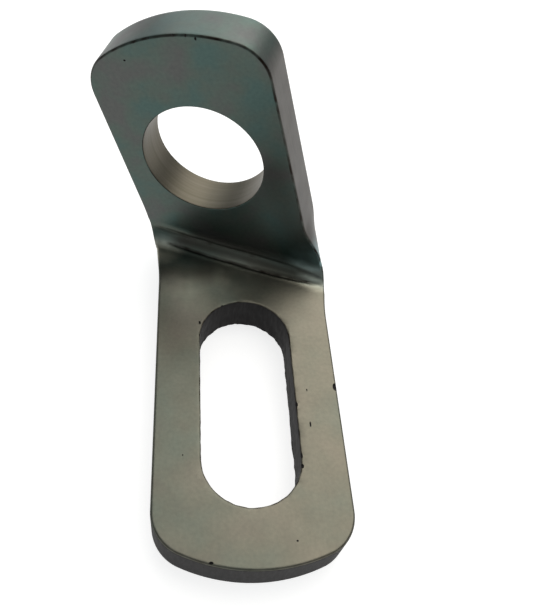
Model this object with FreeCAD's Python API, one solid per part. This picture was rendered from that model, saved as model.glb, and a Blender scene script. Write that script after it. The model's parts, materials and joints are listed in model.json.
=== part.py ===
import FreeCAD
import Part
import os
from math import atan2, cos, pi, radians, sin, sqrt, tan

# A speed sensor bracket made from one length of flat steel bar. The foot has a slot, so that it can
# be slid to and fro under its bolt, and the arm has a round hole that holds the sensor. The bar is
# bent upright on a line that runs askew across it, so the arm leans to one side of the foot. A bar
# this thick, bent this sharply, swells out into ears at the inside corners of the bend and draws in
# at the outside ones.
# The origin is the middle of the slot, on the foot's underside. The foot's tip points to -Y.

# Bar stock
bar_width = 25.0
bar_thickness = 6.0
edge_round = 0.3            # worn and tumbled outside edges

# Foot, measured along the middle of the bar from the line where the bend starts
foot_length = 44.5
foot_tip_radius = 23.0
foot_corner_radius = 5.6

# Adjusting slot, cut for an M12 bolt
slot_width = 12.8
slot_length = 31.0
slot_to_tip = 22.9
slot_offset = 0.15          # punched a little to the +X side of the bar's middle

# Arm, measured along the middle of the bar from the line where the bend ends
arm_length = 33.5
arm_tip_radius = 23.0
arm_corner_radius = 5.6

# Sensor hole, a clearance hole for an M16 threaded barrel
hole_diameter = 17.5
hole_to_tip = 18.5

# Bend
bend_angle = 90.0
bend_skew = 18.5            # how far the bend line is turned from square across the bar
bend_inside_radius = 3.0
neutral_depth = 2.7         # unstretched layer, below the inside face

# Ears. Because the bend is askew, the right one sits near the arm and the left one near the foot.
# Places and reaches are measured along the unstretched layer, from the line where the bend starts.
right_ear = 1.6
right_ear_place = 9.6
right_ear_reach = (14.0, 5.6)       # towards the foot, towards the arm
left_ear = 0.68
left_ear_place = 2.3
left_ear_reach = (8.6, 9.6)
draw_in = 0.33              # how far the outside corner goes in, as a share of the ear
section_count = 9           # outlines that shape the ears, spread evenly along them

# Two dents that the bending punch left along the inside of the bend
mark_depth = 0.2
mark_tool_radius = 0.45
mark_length = 17.0
mark_fade = 3.0             # run-out at each end
mark_low_angle = 22.0
mark_high_angle = 67.0


# Directions of the bend: across the bar along the bend line, and level towards the arm
skew = radians(bend_skew)
along_bend = FreeCAD.Vector(cos(skew), -sin(skew), 0)
past_bend = FreeCAD.Vector(sin(skew), cos(skew), 0)
up = FreeCAD.Vector(0, 0, 1)

# The bend's axis is a level line above the foot, and the bar turns about it while it also runs
# along it, because the bar crosses the bend askew
turn = radians(bend_angle)
outside_radius = bend_inside_radius + bar_thickness
neutral_radius = bend_inside_radius + neutral_depth
axis_point = FreeCAD.Vector(0, 0, outside_radius)
bend_run = neutral_radius * turn
join_error = 0.001          # the swept stretch is this true to size, so it is joined within it

# The swept stretch starts before the bend and ends past it, where the ears have died away
sweep_start = min(right_ear_place - right_ear_reach[0], left_ear_place - left_ear_reach[0], 0)
sweep_end = max(right_ear_place + right_ear_reach[1], left_ear_place + left_ear_reach[1], bend_run)


def blank(length, tip_radius, corner_radius, way, run_in):
    """One flat end of the bar, from the swept stretch to its crowned tip.

    The length is measured from the bend line, which crosses the bar's middle at the origin. The
    flat end starts run_in away from that line. way is 1 for a tip that points to +Y, -1 for -Y.
    """
    half = bar_width / 2
    crown = length - tip_radius
    corner_x = half - corner_radius
    corner_y = crown + sqrt((tip_radius - corner_radius) ** 2 - corner_x ** 2)
    swing = atan2(corner_y - crown, corner_x)

    def on_corner(side, angle):
        x = side * (corner_x + corner_radius * cos(angle))
        return FreeCAD.Vector(x, way * (corner_y + corner_radius * sin(angle)), 0)

    def corner(side):
        return Part.Arc(on_corner(side, 0), on_corner(side, swing / 2), on_corner(side, swing)).toShape()

    tip = FreeCAD.Vector(0, way * length, 0)
    start = FreeCAD.Vector(0, way * run_in / cos(skew), 0)
    right_start = start + FreeCAD.Vector(half, -half * tan(skew), 0)
    left_start = start - FreeCAD.Vector(half, -half * tan(skew), 0)
    edges = [
        Part.LineSegment(right_start, on_corner(1, 0)).toShape(),
        corner(1),
        Part.Arc(on_corner(1, swing), tip, on_corner(-1, swing)).toShape(),
        corner(-1),
        Part.LineSegment(on_corner(-1, 0), left_start).toShape(),
        Part.LineSegment(left_start, right_start).toShape(),
    ]
    plate = Part.Face(Part.Wire(Part.__sortEdges__(edges))).extrude(up * bar_thickness)
    level = [e for e in plate.Edges if abs(e.Vertexes[0].Z - e.Vertexes[-1].Z) < bar_thickness / 2]
    outside = [e for e in level if abs((e.CenterOfMass - start).dot(past_bend)) > edge_round]
    return plate.makeFillet(edge_round, outside)


def slot_cutter():
    """A round-ended slot through the foot."""
    radius = slot_width / 2
    reach = slot_length / 2 - radius
    middle = FreeCAD.Vector(slot_offset, slot_to_tip - foot_length, 0)
    ends = [Part.makeCylinder(radius, bar_thickness, middle + FreeCAD.Vector(0, way * reach, 0), up)
            for way in (-1, 1)]
    corner = middle - FreeCAD.Vector(radius, reach, 0)
    return Part.makeBox(slot_width, 2 * reach, bar_thickness, corner, up).fuse(ends)


def hole_cutter():
    """A round hole through the arm, as it lies while the arm is flat."""
    middle = FreeCAD.Vector(0, arm_length - hole_to_tip, 0)
    return Part.makeCylinder(hole_diameter / 2, bar_thickness, middle, up)


def stand_up(flat):
    """Turn what belongs to the arm from lying flat to its place at the far end of the bend."""
    flat.rotate(axis_point, along_bend, bend_angle)
    flat.translate(along_bend * -bend_run * tan(skew))
    return flat


def bent(across, run, height):
    """Where a point of the flat bar goes when the bar is bent.

    across is measured along the bend line, run square to it, and height above the outside face.
    """
    angle = min(max(run / neutral_radius, 0), turn)
    radius = outside_radius - height
    before = min(run, 0)
    after = max(run - bend_run, 0)
    level = before + radius * sin(angle) + after * cos(turn)
    rise = outside_radius - radius * cos(angle) + after * sin(turn)
    return along_bend * across + past_bend * level + up * rise


def ear(run, size, place, reach):
    """How far an inside corner stands out, fading smoothly on each side of the ear's place."""
    away = abs(run - place) / (reach[1] if run > place else reach[0])
    return size * cos(min(away, 1) * pi / 2) ** 2


def section(run):
    """The bar's outline, cut along the bend line, with its ears and its rounded edges."""
    middle = -run * tan(skew)
    half = bar_width / 2 / cos(skew)
    right = ear(run, right_ear, right_ear_place, right_ear_reach)
    left = ear(run, left_ear, left_ear_place, left_ear_reach)
    midway = 1 - sqrt(0.5)

    def flank(side, height):
        """A flank leans out from the drawn-in outside corner to the ear."""
        size = right if side > 0 else left
        return middle + side * (half + size * ((1 + draw_in) * height / bar_thickness - draw_in))

    def corner(side, face_height, inward):
        """Three points on a rounded corner: where it leaves the flank, midway, and on the face."""
        in_across = -side * edge_round / cos(skew)
        flank_height = face_height + inward * edge_round
        mid_height = face_height + inward * edge_round * midway
        return (bent(flank(side, flank_height), run, flank_height),
                bent(flank(side, mid_height) + in_across * midway, run, mid_height),
                bent(flank(side, face_height) + in_across, run, face_height))

    outside_right = corner(1, 0, 1)
    inside_right = corner(1, bar_thickness, -1)
    inside_left = corner(-1, bar_thickness, -1)
    outside_left = corner(-1, 0, 1)
    edges = [
        Part.Arc(*outside_right).toShape(),
        Part.LineSegment(outside_right[0], inside_right[0]).toShape(),
        Part.Arc(*inside_right).toShape(),
        Part.LineSegment(inside_right[2], inside_left[2]).toShape(),
        Part.Arc(*inside_left).toShape(),
        Part.LineSegment(inside_left[0], outside_left[0]).toShape(),
        Part.Arc(*outside_left).toShape(),
        Part.LineSegment(outside_left[2], outside_right[2]).toShape(),
    ]
    return Part.Wire(Part.__sortEdges__(edges))


def swept_bend():
    """The bent stretch, swept along the middle of the bar's unstretched layer.

    The path is a straight run, a helix about the bend's axis and another straight run.
    """
    height = bar_thickness - neutral_depth

    def on_path(run):
        return bent(-run * tan(skew), run, height)

    pitch = 2 * pi * neutral_radius * tan(skew)
    helix = Part.makeHelix(pitch, bend_run * tan(skew), neutral_radius, 0, True)
    helix.Placement = FreeCAD.Placement(axis_point, FreeCAD.Rotation(-up, -past_bend, -along_bend))
    path = Part.Wire([
        Part.LineSegment(on_path(sweep_start), on_path(0)).toShape(),
        helix.Edges[0],
        Part.LineSegment(on_path(bend_run), on_path(sweep_end)).toShape(),
    ])
    sweep = Part.BRepOffsetAPI.MakePipeShell(path)
    sweep.setBiNormalMode(along_bend)
    step = (sweep_end - sweep_start) / (section_count - 1)
    for number in range(section_count):
        sweep.add(section(sweep_start + step * number), False, False)
    sweep.build()
    sweep.makeSolid()
    return sweep.shape()


def punch_mark(angle):
    """A slim spindle that dents the inside of the bend and runs out to nothing at both ends."""
    half = mark_length / 2
    end = half + 2 * mark_fade
    end_radius = mark_tool_radius - 2 * mark_depth
    outline = [(-end, 0), (-end, end_radius), (-half, mark_tool_radius), (half, mark_tool_radius),
               (end, end_radius), (end, 0), (-end, 0)]
    profile = Part.makePolygon([FreeCAD.Vector(x, 0, radius) for x, radius in outline])
    spindle = Part.Face(profile).revolve(FreeCAD.Vector(0, 0, 0), FreeCAD.Vector(1, 0, 0), 360)
    drop = bend_inside_radius + mark_depth - mark_tool_radius
    spindle.rotate(FreeCAD.Vector(0, 0, 0), up, -bend_skew)
    spindle.translate(FreeCAD.Vector(0, 0, outside_radius - drop))
    spindle.rotate(axis_point, along_bend, angle)
    spindle.translate(along_bend * -bend_run * tan(skew) * angle / bend_angle)
    return spindle


foot = blank(foot_length, foot_tip_radius, foot_corner_radius, -1, -sweep_start)
arm = stand_up(blank(arm_length, arm_tip_radius, arm_corner_radius, 1, sweep_end - bend_run))
bar = foot.fuse([swept_bend(), arm], join_error)
marks = [punch_mark(angle) for angle in (mark_low_angle, mark_high_angle)]
bracket = bar.cut([slot_cutter(), stand_up(hole_cutter())] + marks)
bracket.translate(FreeCAD.Vector(-slot_offset, foot_length - slot_to_tip, 0))

os.makedirs("parts", exist_ok=True)
solid = bracket.Solids[0]
solid.exportStep("parts/tachometer_bracket.step")
print("solids", len(bracket.Solids), "valid", solid.isValid(), "volume", round(solid.Volume, 2))
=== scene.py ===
import json
import math

import bmesh
import bpy
from mathutils import Matrix, Vector, noise

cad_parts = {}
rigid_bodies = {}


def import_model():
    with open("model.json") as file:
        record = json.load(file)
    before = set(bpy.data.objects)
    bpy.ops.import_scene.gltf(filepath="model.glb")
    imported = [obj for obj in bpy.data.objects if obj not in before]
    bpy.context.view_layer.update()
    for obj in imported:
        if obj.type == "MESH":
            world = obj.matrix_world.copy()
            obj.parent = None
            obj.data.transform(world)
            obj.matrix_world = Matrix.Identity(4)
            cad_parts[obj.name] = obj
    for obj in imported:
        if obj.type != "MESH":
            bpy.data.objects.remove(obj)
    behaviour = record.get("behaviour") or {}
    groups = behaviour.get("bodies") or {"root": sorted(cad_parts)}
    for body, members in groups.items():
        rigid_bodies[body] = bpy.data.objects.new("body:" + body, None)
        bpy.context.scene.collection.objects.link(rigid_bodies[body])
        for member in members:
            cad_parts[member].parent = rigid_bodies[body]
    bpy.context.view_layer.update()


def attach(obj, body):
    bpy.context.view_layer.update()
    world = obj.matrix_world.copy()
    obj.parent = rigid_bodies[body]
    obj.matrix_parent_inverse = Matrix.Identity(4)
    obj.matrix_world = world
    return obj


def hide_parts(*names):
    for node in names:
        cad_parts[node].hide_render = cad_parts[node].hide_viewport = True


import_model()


# The camera is held close above the foot and looks down along it at the arm. Its lens, place and
# turn come from a fit to the outlines of the foot, the arm, the slot and the hole.
mm = 0.001
camera_place = Vector((-9.12, -41.91, 83.83)) * mm
camera_turn = (36.085, -2.125, -0.663)
camera_data = bpy.data.cameras.new("camera")
camera_data.lens = 38.1
camera_data.sensor_width = 36
camera_data.shift_x = 0.0999
camera_data.clip_start = 5 * mm
camera_data.clip_end = 10
camera = bpy.data.objects.new("camera", camera_data)
camera.location = camera_place
camera.rotation_euler = [math.radians(angle) for angle in camera_turn]
bpy.context.scene.collection.objects.link(camera)
bpy.context.scene.camera = camera


# The blank: a length of 25 x 6 flat steel bar with crowned ends and rounded corners, cropped in a
# press tool. It is made lying flat, with its outside face down and the line where the bend starts
# through the origin. The foot points to -Y.
bar_width = 25 * mm
bar_thickness = 6 * mm
foot_length = 44.5 * mm
arm_length = 33.5 * mm
tip_radius = 23 * mm
corner_radius = 5.6 * mm
bend_inside_radius = 3 * mm
neutral_height = 3.3 * mm  # the layer that keeps its length, above the outside face
bend_skew = math.radians(18.5)
bend_angle = math.radians(90)
neutral_radius = bend_inside_radius + bar_thickness - neutral_height
bend_run = neutral_radius * bend_angle
arm_start = bend_run / math.cos(bend_skew)
tip_sides = 360
corner_sides = 160
straight_angle = math.radians(0.3)


def rounded_block(name, rounds, low, high):
    """Upright cylinders with a skin stretched over them all.

    Each is (x, y, radius, sides, half width), and is trimmed to a strip if it has a half width.
    """
    bpy.ops.object.select_all(action="DESELECT")
    block = None
    for x, y, radius, sides, half_width in rounds:
        bpy.ops.mesh.primitive_cylinder_add(
            vertices=sides, radius=radius, depth=high - low, location=(x, y, (low + high) / 2))
        if block is None:
            block = bpy.context.object
            block.name = name
            bpy.ops.object.transform_apply(location=True)
            bpy.ops.object.mode_set(mode="EDIT")
        if half_width:
            for side in (-1, 1):
                bpy.ops.mesh.bisect(
                    plane_co=(x + side * half_width, 0, 0), plane_no=(side, 0, 0), clear_outer=True)
                bpy.ops.mesh.select_linked()
    bpy.ops.mesh.select_all(action="SELECT")
    bpy.ops.mesh.convex_hull()
    bpy.ops.mesh.select_all(action="SELECT")
    bpy.ops.mesh.dissolve_limited(angle_limit=straight_angle)
    bpy.ops.object.mode_set(mode="OBJECT")
    return block


corner_x = bar_width / 2 - corner_radius
corner_rise = math.sqrt((tip_radius - corner_radius) ** 2 - corner_x ** 2)
tangent_x = corner_x * tip_radius / (tip_radius - corner_radius)
foot_crown = tip_radius - foot_length
foot_corner = foot_crown - corner_rise
arm_crown = arm_start + arm_length - tip_radius
arm_corner = arm_crown + corner_rise
bracket = rounded_block("bracket", [
    (-corner_x, foot_corner, corner_radius, corner_sides, 0),
    (corner_x, foot_corner, corner_radius, corner_sides, 0),
    (0, foot_crown, tip_radius, tip_sides, tangent_x),
    (-corner_x, arm_corner, corner_radius, corner_sides, 0),
    (corner_x, arm_corner, corner_radius, corner_sides, 0),
    (0, arm_crown, tip_radius, tip_sides, tangent_x),
], 0, bar_thickness)


# The slot and the hole, punched through the blank while it is flat. The slot lets the bracket slide
# under its bolt, and the hole takes the threaded barrel of the sensor.
slot_width = 12.8 * mm
slot_length = 31 * mm
slot_offset = 0.15 * mm
slot_to_tip = 22.9 * mm
slot_middle = slot_to_tip - foot_length
slot_reach = slot_length / 2 - slot_width / 2
slot_sides = 112
hole_radius = 8.75 * mm
hole_to_tip = 18.5 * mm
hole_middle = arm_start + arm_length - hole_to_tip
hole_sides = 128
through = 1 * mm


def use_modifier(piece, kind, **settings):
    """Adds a modifier, sets it and applies it."""
    modifier = piece.modifiers.new(kind.lower(), kind)
    for setting, value in settings.items():
        setattr(modifier, setting, value)
    bpy.ops.object.select_all(action="DESELECT")
    piece.select_set(True)
    bpy.context.view_layer.objects.active = piece
    bpy.ops.object.modifier_apply(modifier=modifier.name)


slot_punch = rounded_block("slot_punch", [
    (slot_offset, slot_middle - slot_reach, slot_width / 2, slot_sides, 0),
    (slot_offset, slot_middle + slot_reach, slot_width / 2, slot_sides, 0),
], -through, bar_thickness + through)
hole_punch = rounded_block("hole_punch", [
    (0, hole_middle, hole_radius, hole_sides, 0),
], -through, bar_thickness + through)
for punch in (slot_punch, hole_punch):
    use_modifier(bracket, "BOOLEAN", operation="DIFFERENCE", solver="EXACT", object=punch)
    bpy.data.objects.remove(punch)


# The bar's edges are rounded by tumbling, and the punched edges have a slight roll on the side where
# the punch went in. A narrow border on each flat face keeps the shading of the face even.
edge_round = 0.3 * mm
edge_segments = 4
punch_roll = 0.12 * mm
roll_segments = 3
flat_border = 0.12 * mm
near_wall = 0.05 * mm  # closer to a wall than this counts as on it
quite_level = 0.999
nearly_level = 0.9
nearly_upright = 0.1


def edit(piece):
    """Opens a piece in edit mode with nothing selected."""
    bpy.ops.object.select_all(action="DESELECT")
    bpy.context.view_layer.objects.active = piece
    piece.select_set(True)
    bpy.ops.object.mode_set(mode="EDIT")
    bpy.ops.mesh.select_all(action="DESELECT")


def pick(piece, kind, test):
    """Selects the vertices, edges or faces that pass a test, in edit mode."""
    bpy.ops.mesh.select_mode(type=kind)
    bpy.ops.mesh.select_all(action="DESELECT")
    mesh = bmesh.from_edit_mesh(piece.data)
    items = {"VERT": mesh.verts, "EDGE": mesh.edges, "FACE": mesh.faces}[kind]
    for item in items:
        if test(item):
            item.select_set(True)
    mesh.select_flush_mode()
    bmesh.update_edit_mesh(piece.data)


def off_slot_wall(point):
    """How far a point stands off the wall of the slot, seen from above."""
    past_straight = max(0, abs(point.y - slot_middle) - slot_reach)
    return abs(math.hypot(point.x - slot_offset, past_straight) - slot_width / 2)


def off_hole_wall(point):
    """How far a point stands off the wall of the hole, seen from above."""
    return abs(math.hypot(point.x, point.y - hole_middle) - hole_radius)


def on_rim(edge):
    """An edge between a flat face and a wall."""
    if len(edge.link_faces) != 2:
        return False
    wall, flat = sorted(abs(face.normal.z) for face in edge.link_faces)
    return wall < nearly_upright and flat > nearly_level


def on_punched_rim(edge):
    """A rim of the slot or of the hole."""
    middle = (edge.verts[0].co + edge.verts[1].co) / 2
    return on_rim(edge) and min(off_slot_wall(middle), off_hole_wall(middle)) < near_wall


def is_high(edge):
    """An edge nearer to the inside face than to the outside one."""
    return (edge.verts[0].co.z + edge.verts[1].co.z) / 2 > bar_thickness / 2


edit(bracket)
pick(bracket, "EDGE", lambda edge: on_rim(edge) and not on_punched_rim(edge))
bpy.ops.mesh.bevel(offset=edge_round, segments=edge_segments, affect="EDGES")
pick(bracket, "EDGE", lambda edge: on_punched_rim(edge) and is_high(edge))
bpy.ops.mesh.bevel(offset=punch_roll, segments=roll_segments, affect="EDGES")
pick(bracket, "FACE", lambda face: abs(face.normal.z) > quite_level)
bpy.ops.mesh.inset(thickness=flat_border)
bpy.ops.object.mode_set(mode="OBJECT")


# Cuts across the blank, so that it can take a smooth bend and fine marks. They follow the skew of
# the bend, are closest together in it, and start and end well past the two tips.
level_step = 0.6 * mm
flat_step = 0.5 * mm
bend_step = 0.25 * mm
side_step = 0.8 * mm
bend_margin = 1 * mm
foot_end = -1.1 * foot_length
arm_end = 1.05 * (arm_start + arm_length)
across = Vector((math.cos(bend_skew), -math.sin(bend_skew), 0))
onward = Vector((math.sin(bend_skew), math.cos(bend_skew), 0))
upward = Vector((0, 0, 1))
sideways = Vector((1, 0, 0))


def steps(start, end, size):
    """Evenly spaced places from start to end, about a size apart."""
    count = round((end - start) / size)
    return [start + (end - start) * number / count for number in range(count)]


def slice_piece(places, direction):
    """Cuts the piece in edit mode by planes at the given places along a direction."""
    for place in places:
        bpy.ops.mesh.select_all(action="SELECT")
        bpy.ops.mesh.bisect(plane_co=direction * place, plane_no=direction)


edit(bracket)
slice_piece(steps(0, bar_thickness, level_step)[1:], upward)
slice_piece(steps(foot_end, -bend_margin, flat_step), onward)
slice_piece(steps(-bend_margin, bend_run + bend_margin, bend_step), onward)
slice_piece(steps(bend_run + bend_margin, arm_end, flat_step), onward)
slice_piece(steps(-bar_width / 2, bar_width / 2, side_step), sideways)
bpy.ops.object.mode_set(mode="OBJECT")


# The finish: zinc plate on rolled mild steel, passivated in a bath. To the eye it is a satin grey
# metal with a greenish cast, mottled by the bath, and its flanks keep the bar's dark rolled grain.
# The plate's crystals and the grain are too fine to show, so both are drawn coarser than they are.
warm_size = 8 * mm
cool_size = 6 * mm
dull_size = 3 * mm
speckle_size = 0.5 * mm
speckle_share = 0.25
grain_size = 0.35 * mm
grain_stretch = (1, 14, 1)
plate_roughness = (0.36, 0.48)
plate_bump = 0.006 * mm


def linear(hex_colour):
    """An sRGB hex colour as linear values."""
    values = [int(hex_colour[start:start + 2], 16) / 255 for start in (1, 3, 5)]
    return [v / 12.92 if v <= 0.04045 else ((v + 0.055) / 1.055) ** 2.4 for v in values] + [1.0]


def add_node(material, kind, settings=None, shades=(), **sockets):
    """Adds a shader node with its settings, and sets or links its sockets, named or by _number.

    Shades are the (place, hex colour) pairs of a ramp.
    """
    node = material.node_tree.nodes.new(kind)
    for name, value in (settings or {}).items():
        setattr(node, name, value)
    for number, (place, colour) in enumerate(shades):
        elements = node.color_ramp.elements
        element = elements[number] if number < len(elements) else elements.new(place)
        element.position = place
        element.color = linear(colour)
    for name, value in sockets.items():
        socket = node.inputs[int(name[1:])] if name[1:].isdigit() else node.inputs[name]
        if isinstance(value, bpy.types.NodeSocket):
            material.node_tree.links.new(value, socket)
        else:
            socket.default_value = value
    return node


def scatter(material, size, detail=3, stretch=(1, 1, 1)):
    """Patches of a real size, drawn out by stretch, that follow the bar through the bend."""
    flat_place = add_node(material, "ShaderNodeAttribute", {"attribute_name": "flat_place"})
    mapping = add_node(
        material, "ShaderNodeMapping", {"vector_type": "TEXTURE"},
        Vector=flat_place.outputs["Vector"], Scale=[size * drawn for drawn in stretch])
    patches = add_node(
        material, "ShaderNodeTexNoise", Vector=mapping.outputs[0], Scale=1.0, Detail=detail)
    return patches.outputs[0]


def cover(material, under, over, where):
    """Lays one colour over another, as thickly as the mesh's attribute of that name says."""
    share = add_node(material, "ShaderNodeAttribute", {"attribute_name": where})
    covered = add_node(
        material, "ShaderNodeMix", {"data_type": "RGBA"}, _0=share.outputs["Fac"], _6=under, _7=over)
    return covered.outputs[2]


def new_finish(name):
    """A new material in the bracket's next slot."""
    material = bpy.data.materials.new(name)
    material.use_nodes = True
    bracket.data.materials.append(material)
    return material


def surface(material, colour, height, bump_depth, settings):
    """Joins a colour and a bump of a real depth to the material's shader, and sets its other inputs."""
    shader = material.node_tree.nodes["Principled BSDF"]
    bump = add_node(material, "ShaderNodeBump", Height=height, Strength=1.0, Distance=bump_depth)
    material.node_tree.links.new(colour, shader.inputs["Base Color"])
    material.node_tree.links.new(bump.outputs[0], shader.inputs["Normal"])
    for name, value in settings.items():
        shader.inputs[name].default_value = value
    return shader


zinc = new_finish("passivated_zinc_plate")
warm_stain = add_node(
    zinc, "ShaderNodeValToRGB", shades=[(0.35, "#727369"), (0.5, "#777469"), (0.65, "#7c776c")],
    _0=scatter(zinc, warm_size)).outputs[0]
# Painted shade: the darker, cooler tone laid on the arm and along the foot's left side stands for dark
# reflections there, and is mottled like the rest.
painted_shade_tone = add_node(
    zinc, "ShaderNodeValToRGB", shades=[(0.35, "#4c5f5c"), (0.5, "#545f5a"), (0.65, "#595b5a")],
    _0=scatter(zinc, cool_size)).outputs[0]
speckle = scatter(zinc, speckle_size, 4)
crystals = add_node(
    zinc, "ShaderNodeValToRGB", shades=[(0.3, "#5d5f58"), (0.7, "#9b9b90")], _0=speckle).outputs[0]
speckled = add_node(
    zinc, "ShaderNodeMix", {"data_type": "RGBA", "blend_type": "OVERLAY"},
    _0=speckle_share, _6=cover(zinc, warm_stain, painted_shade_tone, "painted_shade_cool"), _7=crystals).outputs[2]
grain = scatter(zinc, grain_size, 3, grain_stretch)
rolled = add_node(
    zinc, "ShaderNodeValToRGB", shades=[(0.3, "#3d3a36"), (0.7, "#4a4641")], _0=grain).outputs[0]
# The pale colour of the pale spots, warmer on the foot and bluer on the arm.
bright = cover(zinc, linear("#b4b2a2"), linear("#86a4a6"), "on_arm")
plate = cover(zinc, cover(zinc, speckled, rolled, "flank"), bright, "pale_spot")
# The darkest colour is laid on as dirt in the marks and beside the foot's end, and as painted shade in the
# smears about the marks and along the rims.
zinc_shader = surface(
    zinc, cover(zinc, plate, linear("#231d19"), "dirt_and_shade"), cover(zinc, speckle, grain, "flank"),
    plate_bump, {"Metallic": 1})
dullness = add_node(
    zinc, "ShaderNodeMapRange", _0=scatter(zinc, dull_size), _3=plate_roughness[0], _4=plate_roughness[1])
zinc.node_tree.links.new(dullness.outputs[0], zinc_shader.inputs["Roughness"])


# The torn walls: a punch shears the first third of the slot's wall cleanly and tears the rest. The tear is
# darkened mild steel with streaks from face to face, so rough that it mirrors nothing, which is why it is
# drawn matt and not as metal. The cropped end of the foot gets the same dark finish as painted shade.
clean_shear = 0.3
tear_start = 0.15
rim_tear = 0.35
tear_depth = 0.35 * mm
tear_size = 0.9 * mm
tear_balance = 0.75
tear_margin = 0.03 * mm  # how far past the punch's roll the tear still starts
streak_size = 0.45 * mm
streak_stretch = (1, 1, 6)
streak_bump = 0.035 * mm
torn_roughness = 0.7
torn_shine = 0.2
wall_slope = 0.5
end_slope = 0.3
torn_and_shaded_steel = new_finish("torn_steel_and_painted_shade")
streaks = scatter(torn_and_shaded_steel, streak_size, 4, streak_stretch)
streaked = add_node(
    torn_and_shaded_steel, "ShaderNodeValToRGB", shades=[(0.3, "#232121"), (0.5, "#2b2929"), (0.7, "#373535")],
    _0=streaks).outputs[0]
surface(
    torn_and_shaded_steel, streaked, streaks, streak_bump,
    {"Metallic": 0, "Roughness": torn_roughness, "Specular IOR Level": torn_shine})


def give_finish(material, test):
    """Gives a finish to the faces that pass a test."""
    for face in bracket.data.polygons:
        if test(face):
            face.material_index = bracket.data.materials.find(material.name)


def on_slot_wall(face):
    """A face of the slot's wall."""
    return abs(face.normal.z) < wall_slope and off_slot_wall(face.center) < near_wall


def on_foot_end(face):
    """A face of the foot's cropped end, painted dark as painted shade."""
    return abs(face.normal.z) < end_slope and face.center.y < foot_corner


give_finish(torn_and_shaded_steel, lambda face: on_slot_wall(face) or on_foot_end(face))
torn = bracket.vertex_groups.new(name="torn")
for vertex in bracket.data.vertices:
    depth = 1 - vertex.co.z / bar_thickness
    if off_slot_wall(vertex.co) < punch_roll + tear_margin:
        torn.add([vertex.index], min(max((depth - clean_shear) / tear_start, rim_tear), 1), "REPLACE")
tear_noise = bpy.data.textures.new("tear_noise", "CLOUDS")
tear_noise.noise_scale = tear_size
tear_noise.noise_depth = 2
use_modifier(bracket, "DISPLACE", texture=tear_noise, texture_coords="LOCAL", vertex_group="torn",
             strength=tear_depth, mid_level=tear_balance)


# The hole's wall is bored after the blank is punched and plated with the rest, so it is smooth, a
# little brighter, and ringed by the tool. The rings are drawn coarser than the tool's, to show.
ring_size = 0.5 * mm
ring_stretch = (30, 30, 1)
ring_bump = 0.005 * mm
bored_roughness = 0.45
bored_zinc = new_finish("bored_zinc_plate")
rings = scatter(bored_zinc, ring_size, 3, ring_stretch)
ringed = add_node(
    bored_zinc, "ShaderNodeValToRGB", shades=[(0.3, "#575347"), (0.7, "#625d53")], _0=rings).outputs[0]
surface(bored_zinc, ringed, rings, ring_bump, {"Metallic": 1, "Roughness": bored_roughness})


def on_hole_wall(face):
    """A face of the hole's wall."""
    return abs(face.normal.z) < wall_slope and off_hole_wall(face.center) < near_wall


give_finish(bored_zinc, on_hole_wall)


# Nicks from handling: small dark pits in the faces and notches in the rims, cut with slim grains.
# Each is (x, y, half width, half length, depth) in mm on the flat blank's inside face.
nicks = [
    (12.25, -20.4, 0.35, 0.6, 0.4), (8.25, -26.0, 0.12, 0.45, 0.12), (8.3, -20.9, 0.1, 0.2, 0.1),
    (6.65, -23.1, 0.22, 0.4, 0.4), (6.62, -30.4, 0.18, 0.4, 0.4), (6.6, -31.8, 0.2, 0.3, 0.4),
    (-6.3, -9.9, 0.15, 0.3, 0.3), (-6.3, -12.1, 0.12, 0.25, 0.3), (-2.9, -6.85, 0.25, 0.15, 0.3),
    (5.1, -41.1, 0.14, 0.12, 0.1), (-5.2, -43.6, 0.3, 0.18, 0.3), (-5.9, 40.3, 0.15, 0.14, 0.12),
    (1.6, 42.85, 0.14, 0.2, 0.25), (3.25, 42.65, 0.12, 0.2, 0.25), (4.4, 42.1, 0.14, 0.25, 0.2),
    (-1.6, 42.8, 0.12, 0.15, 0.2), (-8.6, -30.4, 0.1, 0.12, 0.1),
]
grain_raggedness = 0.05 * mm
grain_seed = 7
bpy.ops.object.select_all(action="DESELECT")
grains = None
for x, y, half_width, half_length, depth in nicks:
    bpy.ops.mesh.primitive_ico_sphere_add(
        subdivisions=2, radius=mm, location=(x * mm, y * mm, bar_thickness),
        scale=(half_width, half_length, depth))
    if grains is None:
        grains = bpy.context.object
        bpy.ops.object.transform_apply()
        bpy.ops.object.mode_set(mode="EDIT")
bpy.ops.mesh.select_all(action="SELECT")
bpy.ops.transform.vertex_random(offset=grain_raggedness, seed=grain_seed)
bpy.ops.object.mode_set(mode="OBJECT")
grains.data.materials.append(torn_and_shaded_steel)
use_modifier(bracket, "BOOLEAN", operation="DIFFERENCE", solver="EXACT", object=grains,
             material_mode="TRANSFER")
bpy.data.objects.remove(grains)


# What the finish needs to know of the flat bar is kept on its mesh before it changes shape: where
# each point lies, and how far it belongs to a flank, which fades out over the rounded edges.
flank_fade = 0.6 * mm


def fade(distance, width):
    """1 where the distance is nothing, falling evenly to 0 at the width."""
    return max(0, 1 - distance / width)


flat_place = bracket.data.attributes.new("flat_place", "FLOAT_VECTOR", "POINT")
for vertex in bracket.data.vertices:
    flat_place.data[vertex.index].vector = vertex.co
flank = bracket.data.attributes.new("flank", "FLOAT", "POINT")
for vertex in bracket.data.vertices:
    off_face = min(vertex.co.z, bar_thickness - vertex.co.z)
    off_side = bar_width / 2 - abs(vertex.co.x)
    flank.data[vertex.index].value = min(off_face / edge_round, 1) * fade(off_side, flank_fade)


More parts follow.
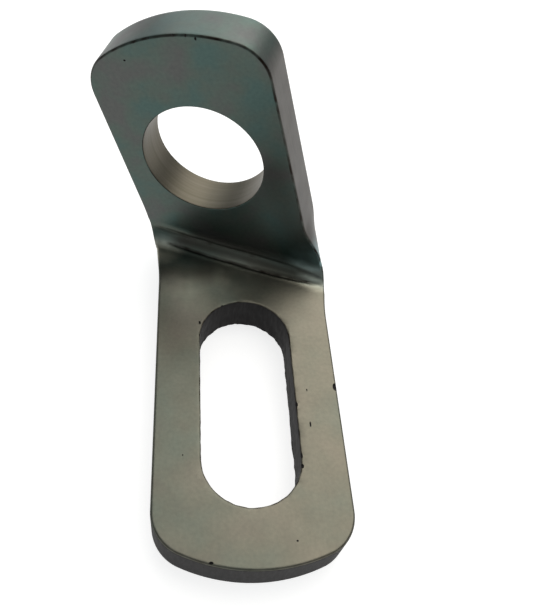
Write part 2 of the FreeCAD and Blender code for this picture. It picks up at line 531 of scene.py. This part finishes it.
# The ears: a bar this thick swells out at the inside corners of the bend and draws in at the
# outside ones. Because the bend is askew, the right ear sits near the arm and the left one near
# the foot.
ears = {
    1: {"size": 1.6 * mm, "place": 9.6 * mm, "to_foot": 14 * mm, "to_arm": 5.6 * mm},
    -1: {"size": 0.68 * mm, "place": 2.3 * mm, "to_foot": 8.6 * mm, "to_arm": 9.6 * mm},
}
draw_in = 0.33
flank_width = bar_width / 2 / math.cos(bend_skew)


def ear_size(side, run):
    """How far the inside corner stands out, on the right (1) or the left (-1)."""
    ear = ears[side]
    away = (run - ear["place"]) / (ear["to_arm"] if run > ear["place"] else ear["to_foot"])
    return ear["size"] * math.cos(min(abs(away), 1) * math.pi / 2) ** 2


for vertex in bracket.data.vertices:
    run = vertex.co.dot(onward)
    off_middle = vertex.co.dot(across) + run * math.tan(bend_skew)
    side = 1 if off_middle > 0 else -1
    share = (1 + draw_in) * vertex.co.z / bar_thickness - draw_in
    near_flank = (abs(off_middle) / flank_width) ** 2
    vertex.co += across * side * ear_size(side, run) * share * near_flank


# Two marks that the bending punch pressed across the inside of the bend. They are dark with oil and dust.
# The softer dark smears about them are painted shade, standing for dark reflections on the bend and the
# arm. Each line has points of (place along the bend line in mm, degrees round the bend), and its darkening
# is thickest along its middle.
punch_marks = [
    {"line": [(-14.2, 66), (-8, 59), (0, 57), (6, 54), (9, 50), (11.8, 43)],
     "dirt_and_shade": 0.6, "width": 0.9 * mm, "depth": 0.12 * mm},
    {"line": [(-11.6, 28), (-8, 23), (-4, 20), (4, 18), (8, 20), (11.4, 24)],
     "dirt_and_shade": 0.82, "width": 0.8 * mm, "depth": 0.14 * mm},
]
# Painted shade: soft dark bands on the bend and the arm that stand for dark reflections.
shade_smears = [
    {"line": [(-10, 46), (0, 42), (8, 39)], "dirt_and_shade": 0.6, "width": 2.2 * mm},
    {"line": [(-8, 74), (0, 70), (6, 66)], "dirt_and_shade": 0.6, "width": 2.4 * mm},
    {"line": [(2, 22), (10, 28)], "dirt_and_shade": 0.6, "width": 1.2 * mm},
    {"line": [(-13, -44), (-9, -32), (-5, -20)], "dirt_and_shade": 0.5, "width": 2.8 * mm},
    {"line": [(-8, -125), (-5, -160)], "dirt_and_shade": 0.2, "width": 4.5 * mm},
    {"line": [(2.5, 241), (6.6, 150), (9.5, 100)], "dirt_and_shade": 0.42, "width": 4.5 * mm},
]
mark_core = 1.6
mark_line = 0.16 * mm
mark_reach = 0.8 * mm
skin = 0.01 * mm  # closer to a face than this counts as on it
smudge_size = 1.3 * mm
smudge_mean = 0.8
smudge_swing = 0.6


def on_bend(along, degrees, height=bar_thickness):
    """A point of the flat blank from its place along the bend line in mm and degrees round it."""
    return across * along * mm + onward * bend_run * degrees / 90 + upward * height


def off_line(point, line):
    """The distance from a point of the flat blank to a mark's line, seen from above."""
    flat = Vector((point.x, point.y, 0))
    distances = []
    for first, second in zip(line, line[1:]):
        start = on_bend(*first, 0)
        ahead = on_bend(*second, 0) - start
        share = min(max((flat - start).dot(ahead) / ahead.length_squared, 0), 1)
        distances.append((start + ahead * share - flat).length)
    return min(distances)


def smudge(point):
    """Uneven patches that the dirt in the marks and the pale spots share."""
    return smudge_mean + smudge_swing * noise.noise(point / smudge_size)


def mark_dirt_and_shade(point):
    """How dark a point of the inside face is painted: with dirt in the marks, and with painted shade in the
    smears about them.
    """
    dirt_and_shade = 0
    for mark in punch_marks:
        core = min(mark_core * fade(off_line(point, mark["line"]), mark["width"]), 1)
        dirt_and_shade = max(dirt_and_shade, core * mark["dirt_and_shade"] * smudge(point))
    for shade_smear in shade_smears:
        nearness = fade(off_line(point, shade_smear["line"]), shade_smear["width"])
        dirt_and_shade = max(dirt_and_shade, shade_smear["dirt_and_shade"] * math.sin(nearness * math.pi / 2) ** 2)
    return dirt_and_shade


# Wear, stain and painted shade: dust sits in the rims, most on the arm and round the slot, together with
# painted shade along the rounded edges, and dust sits on the flanks beside the foot's cropped end. The
# plate is paler in spots at both ends of the bend. On the arm and along the foot's left side it is painted
# darker and cooler, as painted shade.
pale_spots = [
    {"middle": on_bend(-13.6, 8), "reach": 4.4 * mm, "strength": 1.8},
    {"middle": on_bend(11.5, 27), "reach": 3.2 * mm, "strength": 1.4},
    {"middle": on_bend(11, 88), "reach": 4.6 * mm, "strength": 1.5},
    {"middle": on_bend(-7.2, -64), "reach": 6 * mm, "strength": 0.22},
    {"middle": on_bend(-1, 2), "reach": 6 * mm, "strength": 0.5},
]
# The rims are darkened partly by dust and partly by painted shade, dark lines that dull the rounded edges
# and the slot's roll.
foot_rim_dust_and_shade = 0.25
arm_rim_dust_and_shade = 0.7
rim_patch_size = 0.8 * mm
rim_patch_mean = 0.85
rim_depth = 0.7 * edge_round
slot_rim = 1.2 * punch_roll
end_dirt = 0.8
end_fade = 5 * mm
# How much painted shade the foot's left side takes, more near the bend, and how far it reaches.
cool_side = 0.36
cool_near_bend = 0.5
cool_fade = 14 * mm


def arm_share(point):
    """0 on the foot, 1 on the arm, and evenly between through the bend."""
    return min(max(point.dot(onward) / bend_run, 0), 1)


def rim_dust_and_shade(point):
    """How dark a point of a rim is painted: with dust, and with painted shade along the rounded edges and
    the slot's roll.
    """
    on_rim_round = skin < bar_thickness - point.z < rim_depth
    if not on_rim_round and off_slot_wall(point) >= slot_rim:
        return 0
    on_arm = arm_share(point) if off_slot_wall(point) > edge_round else 1
    patches = rim_patch_mean + noise.noise(point / rim_patch_size)
    return patches * (foot_rim_dust_and_shade + (arm_rim_dust_and_shade - foot_rim_dust_and_shade) * on_arm)


def end_dust(point, on_flank):
    """How thick the dust lies on a flank beside the foot's end."""
    return on_flank * end_dirt * fade(max(point.y - foot_corner, 0), end_fade)


def brightness(point):
    """How far a point of the inside face is turned to the pale colour."""
    return max(spot["strength"] * smudge(point) * fade((point - spot["middle"]).length, spot["reach"])
               for spot in pale_spots)


def painted_shade_share(point):
    """How far the plate is painted darker and cooler, as painted shade."""
    left_share = 0.5 - point.x / bar_width
    near_bend = fade(max(-point.dot(onward), 0), cool_fade)
    return max(arm_share(point), left_share * (cool_side + cool_near_bend * near_bend))


for name in ("dirt_and_shade", "pale_spot", "painted_shade_cool", "on_arm"):
    bracket.data.attributes.new(name, "FLOAT", "POINT")
kept = bracket.data.attributes
for vertex in bracket.data.vertices:
    point = vertex.co
    number = vertex.index
    dirt_and_shade = end_dust(point, kept["flank"].data[number].value)
    if point.z > bar_thickness / 2:
        dirt_and_shade = max(dirt_and_shade, mark_dirt_and_shade(point), rim_dust_and_shade(point))
        kept["pale_spot"].data[number].value = brightness(point)
    kept["dirt_and_shade"].data[number].value = dirt_and_shade
    kept["painted_shade_cool"].data[number].value = painted_shade_share(point)
    kept["on_arm"].data[number].value = arm_share(point)

edit(bracket)
for mark in punch_marks:
    pick(bracket, "VERT", lambda vertex: (
        vertex.co.z > bar_thickness - skin and off_line(vertex.co, mark["line"]) < mark_line))
    bpy.ops.transform.translate(
        value=(0, 0, -mark["depth"]), use_proportional_edit=True,
        proportional_edit_falloff="SMOOTH", proportional_size=mark_reach)
bpy.ops.object.mode_set(mode="OBJECT")


# The bend: the blank is pressed upright over a die that lies askew across it, about the layer that keeps
# its length. Then the bracket is set down with the slot's middle over the origin. It stands for the bare
# solid, in the same place.
smooth_angle = math.radians(35)
die = bpy.data.objects.new("die", None)
die.matrix_world = (
    Matrix.Translation(upward * neutral_height) @ Matrix((onward, upward, across)).transposed().to_4x4())
bpy.context.scene.collection.objects.link(die)
bpy.context.view_layer.update()
runs = [vertex.co.dot(onward) for vertex in bracket.data.vertices]
length = max(runs) - min(runs)
use_modifier(bracket, "SIMPLE_DEFORM", deform_method="BEND", deform_axis="Z", angle=bend_angle, origin=die,
             limits=(-min(runs) / length, (bend_run - min(runs)) / length))
bpy.data.objects.remove(die)
bracket.data.transform(Matrix.Translation((-slot_offset, -slot_middle, 0)))
bpy.ops.object.shade_smooth_by_angle(angle=smooth_angle)
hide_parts("tachometer_bracket")
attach(bracket, "root")


# The floor: matt white card that glows for the camera and in the metal, so that it looks white
# while the bracket still casts a soft shadow on it. It lies a hair below the bracket's underside.
floor_size = 3
floor_glow = 0.75
floor_gap = 0.02 * mm
card_roughness = 0.9
bpy.ops.object.select_all(action="DESELECT")
bpy.ops.mesh.primitive_plane_add(size=floor_size, location=(0, 0, -floor_gap))
floor = bpy.context.object
floor.name = "floor"
card = bpy.data.materials.new("white_card")
card.use_nodes = True
card_shader = card.node_tree.nodes["Principled BSDF"]
card_shader.inputs["Base Color"].default_value = linear("#c0c0c0")
card_shader.inputs["Roughness"].default_value = card_roughness
card_shader.inputs["Specular IOR Level"].default_value = 0
card_shader.inputs["Emission Color"].default_value = linear("#ffffff")
seen = add_node(card, "ShaderNodeLightPath")
seen_or_mirrored = add_node(
    card, "ShaderNodeMath", {"operation": "MAXIMUM"},
    _0=seen.outputs["Is Camera Ray"], _1=seen.outputs["Is Glossy Ray"])
seen_at_all = add_node(
    card, "ShaderNodeMath", {"operation": "MAXIMUM"},
    _0=seen_or_mirrored.outputs[0], _1=seen.outputs["Is Transmission Ray"])
glow = add_node(card, "ShaderNodeMath", {"operation": "MULTIPLY"}, _0=seen_at_all.outputs[0], _1=floor_glow)
card.node_tree.links.new(glow.outputs[0], card_shader.inputs["Emission Strength"])
floor.data.materials.append(card)


# A plain soft studio: a dim grey room that is white only to the camera, one large soft light high up
# on the right, and another low down behind the bracket.
def soft_light(name, place, size, watts, colour):
    """A square light that faces the bracket."""
    lamp = bpy.data.lights.new(name, "AREA")
    lamp.shape = "SQUARE"
    lamp.size = size
    lamp.energy = watts
    lamp.color = linear(colour)[:3]
    light = bpy.data.objects.new(name, lamp)
    light.location = place
    light.rotation_euler = (-Vector(place)).to_track_quat("-Z", "Y").to_euler()
    bpy.context.scene.collection.objects.link(light)


soft_light("high_light", place=(0.2, 0.3, 0.64), size=0.7, watts=3.15, colour="#fffaf2")
soft_light("back_light", place=(0.15, 0.8, 0.28), size=0.8, watts=3.2, colour="#fbffff")
room = bpy.data.worlds.new("studio_room")
bpy.context.scene.world = room
room.use_nodes = True
looked_at = add_node(room, "ShaderNodeLightPath").outputs["Is Camera Ray"]
room_colour = add_node(
    room, "ShaderNodeMix", {"data_type": "RGBA"},
    _0=looked_at, _6=linear("#a6a9aa"), _7=linear("#ffffff")).outputs[2]
room.node_tree.links.new(room_colour, room.node_tree.nodes["Background"].inputs["Color"])
bpy.context.scene.view_settings.view_transform = "Standard"
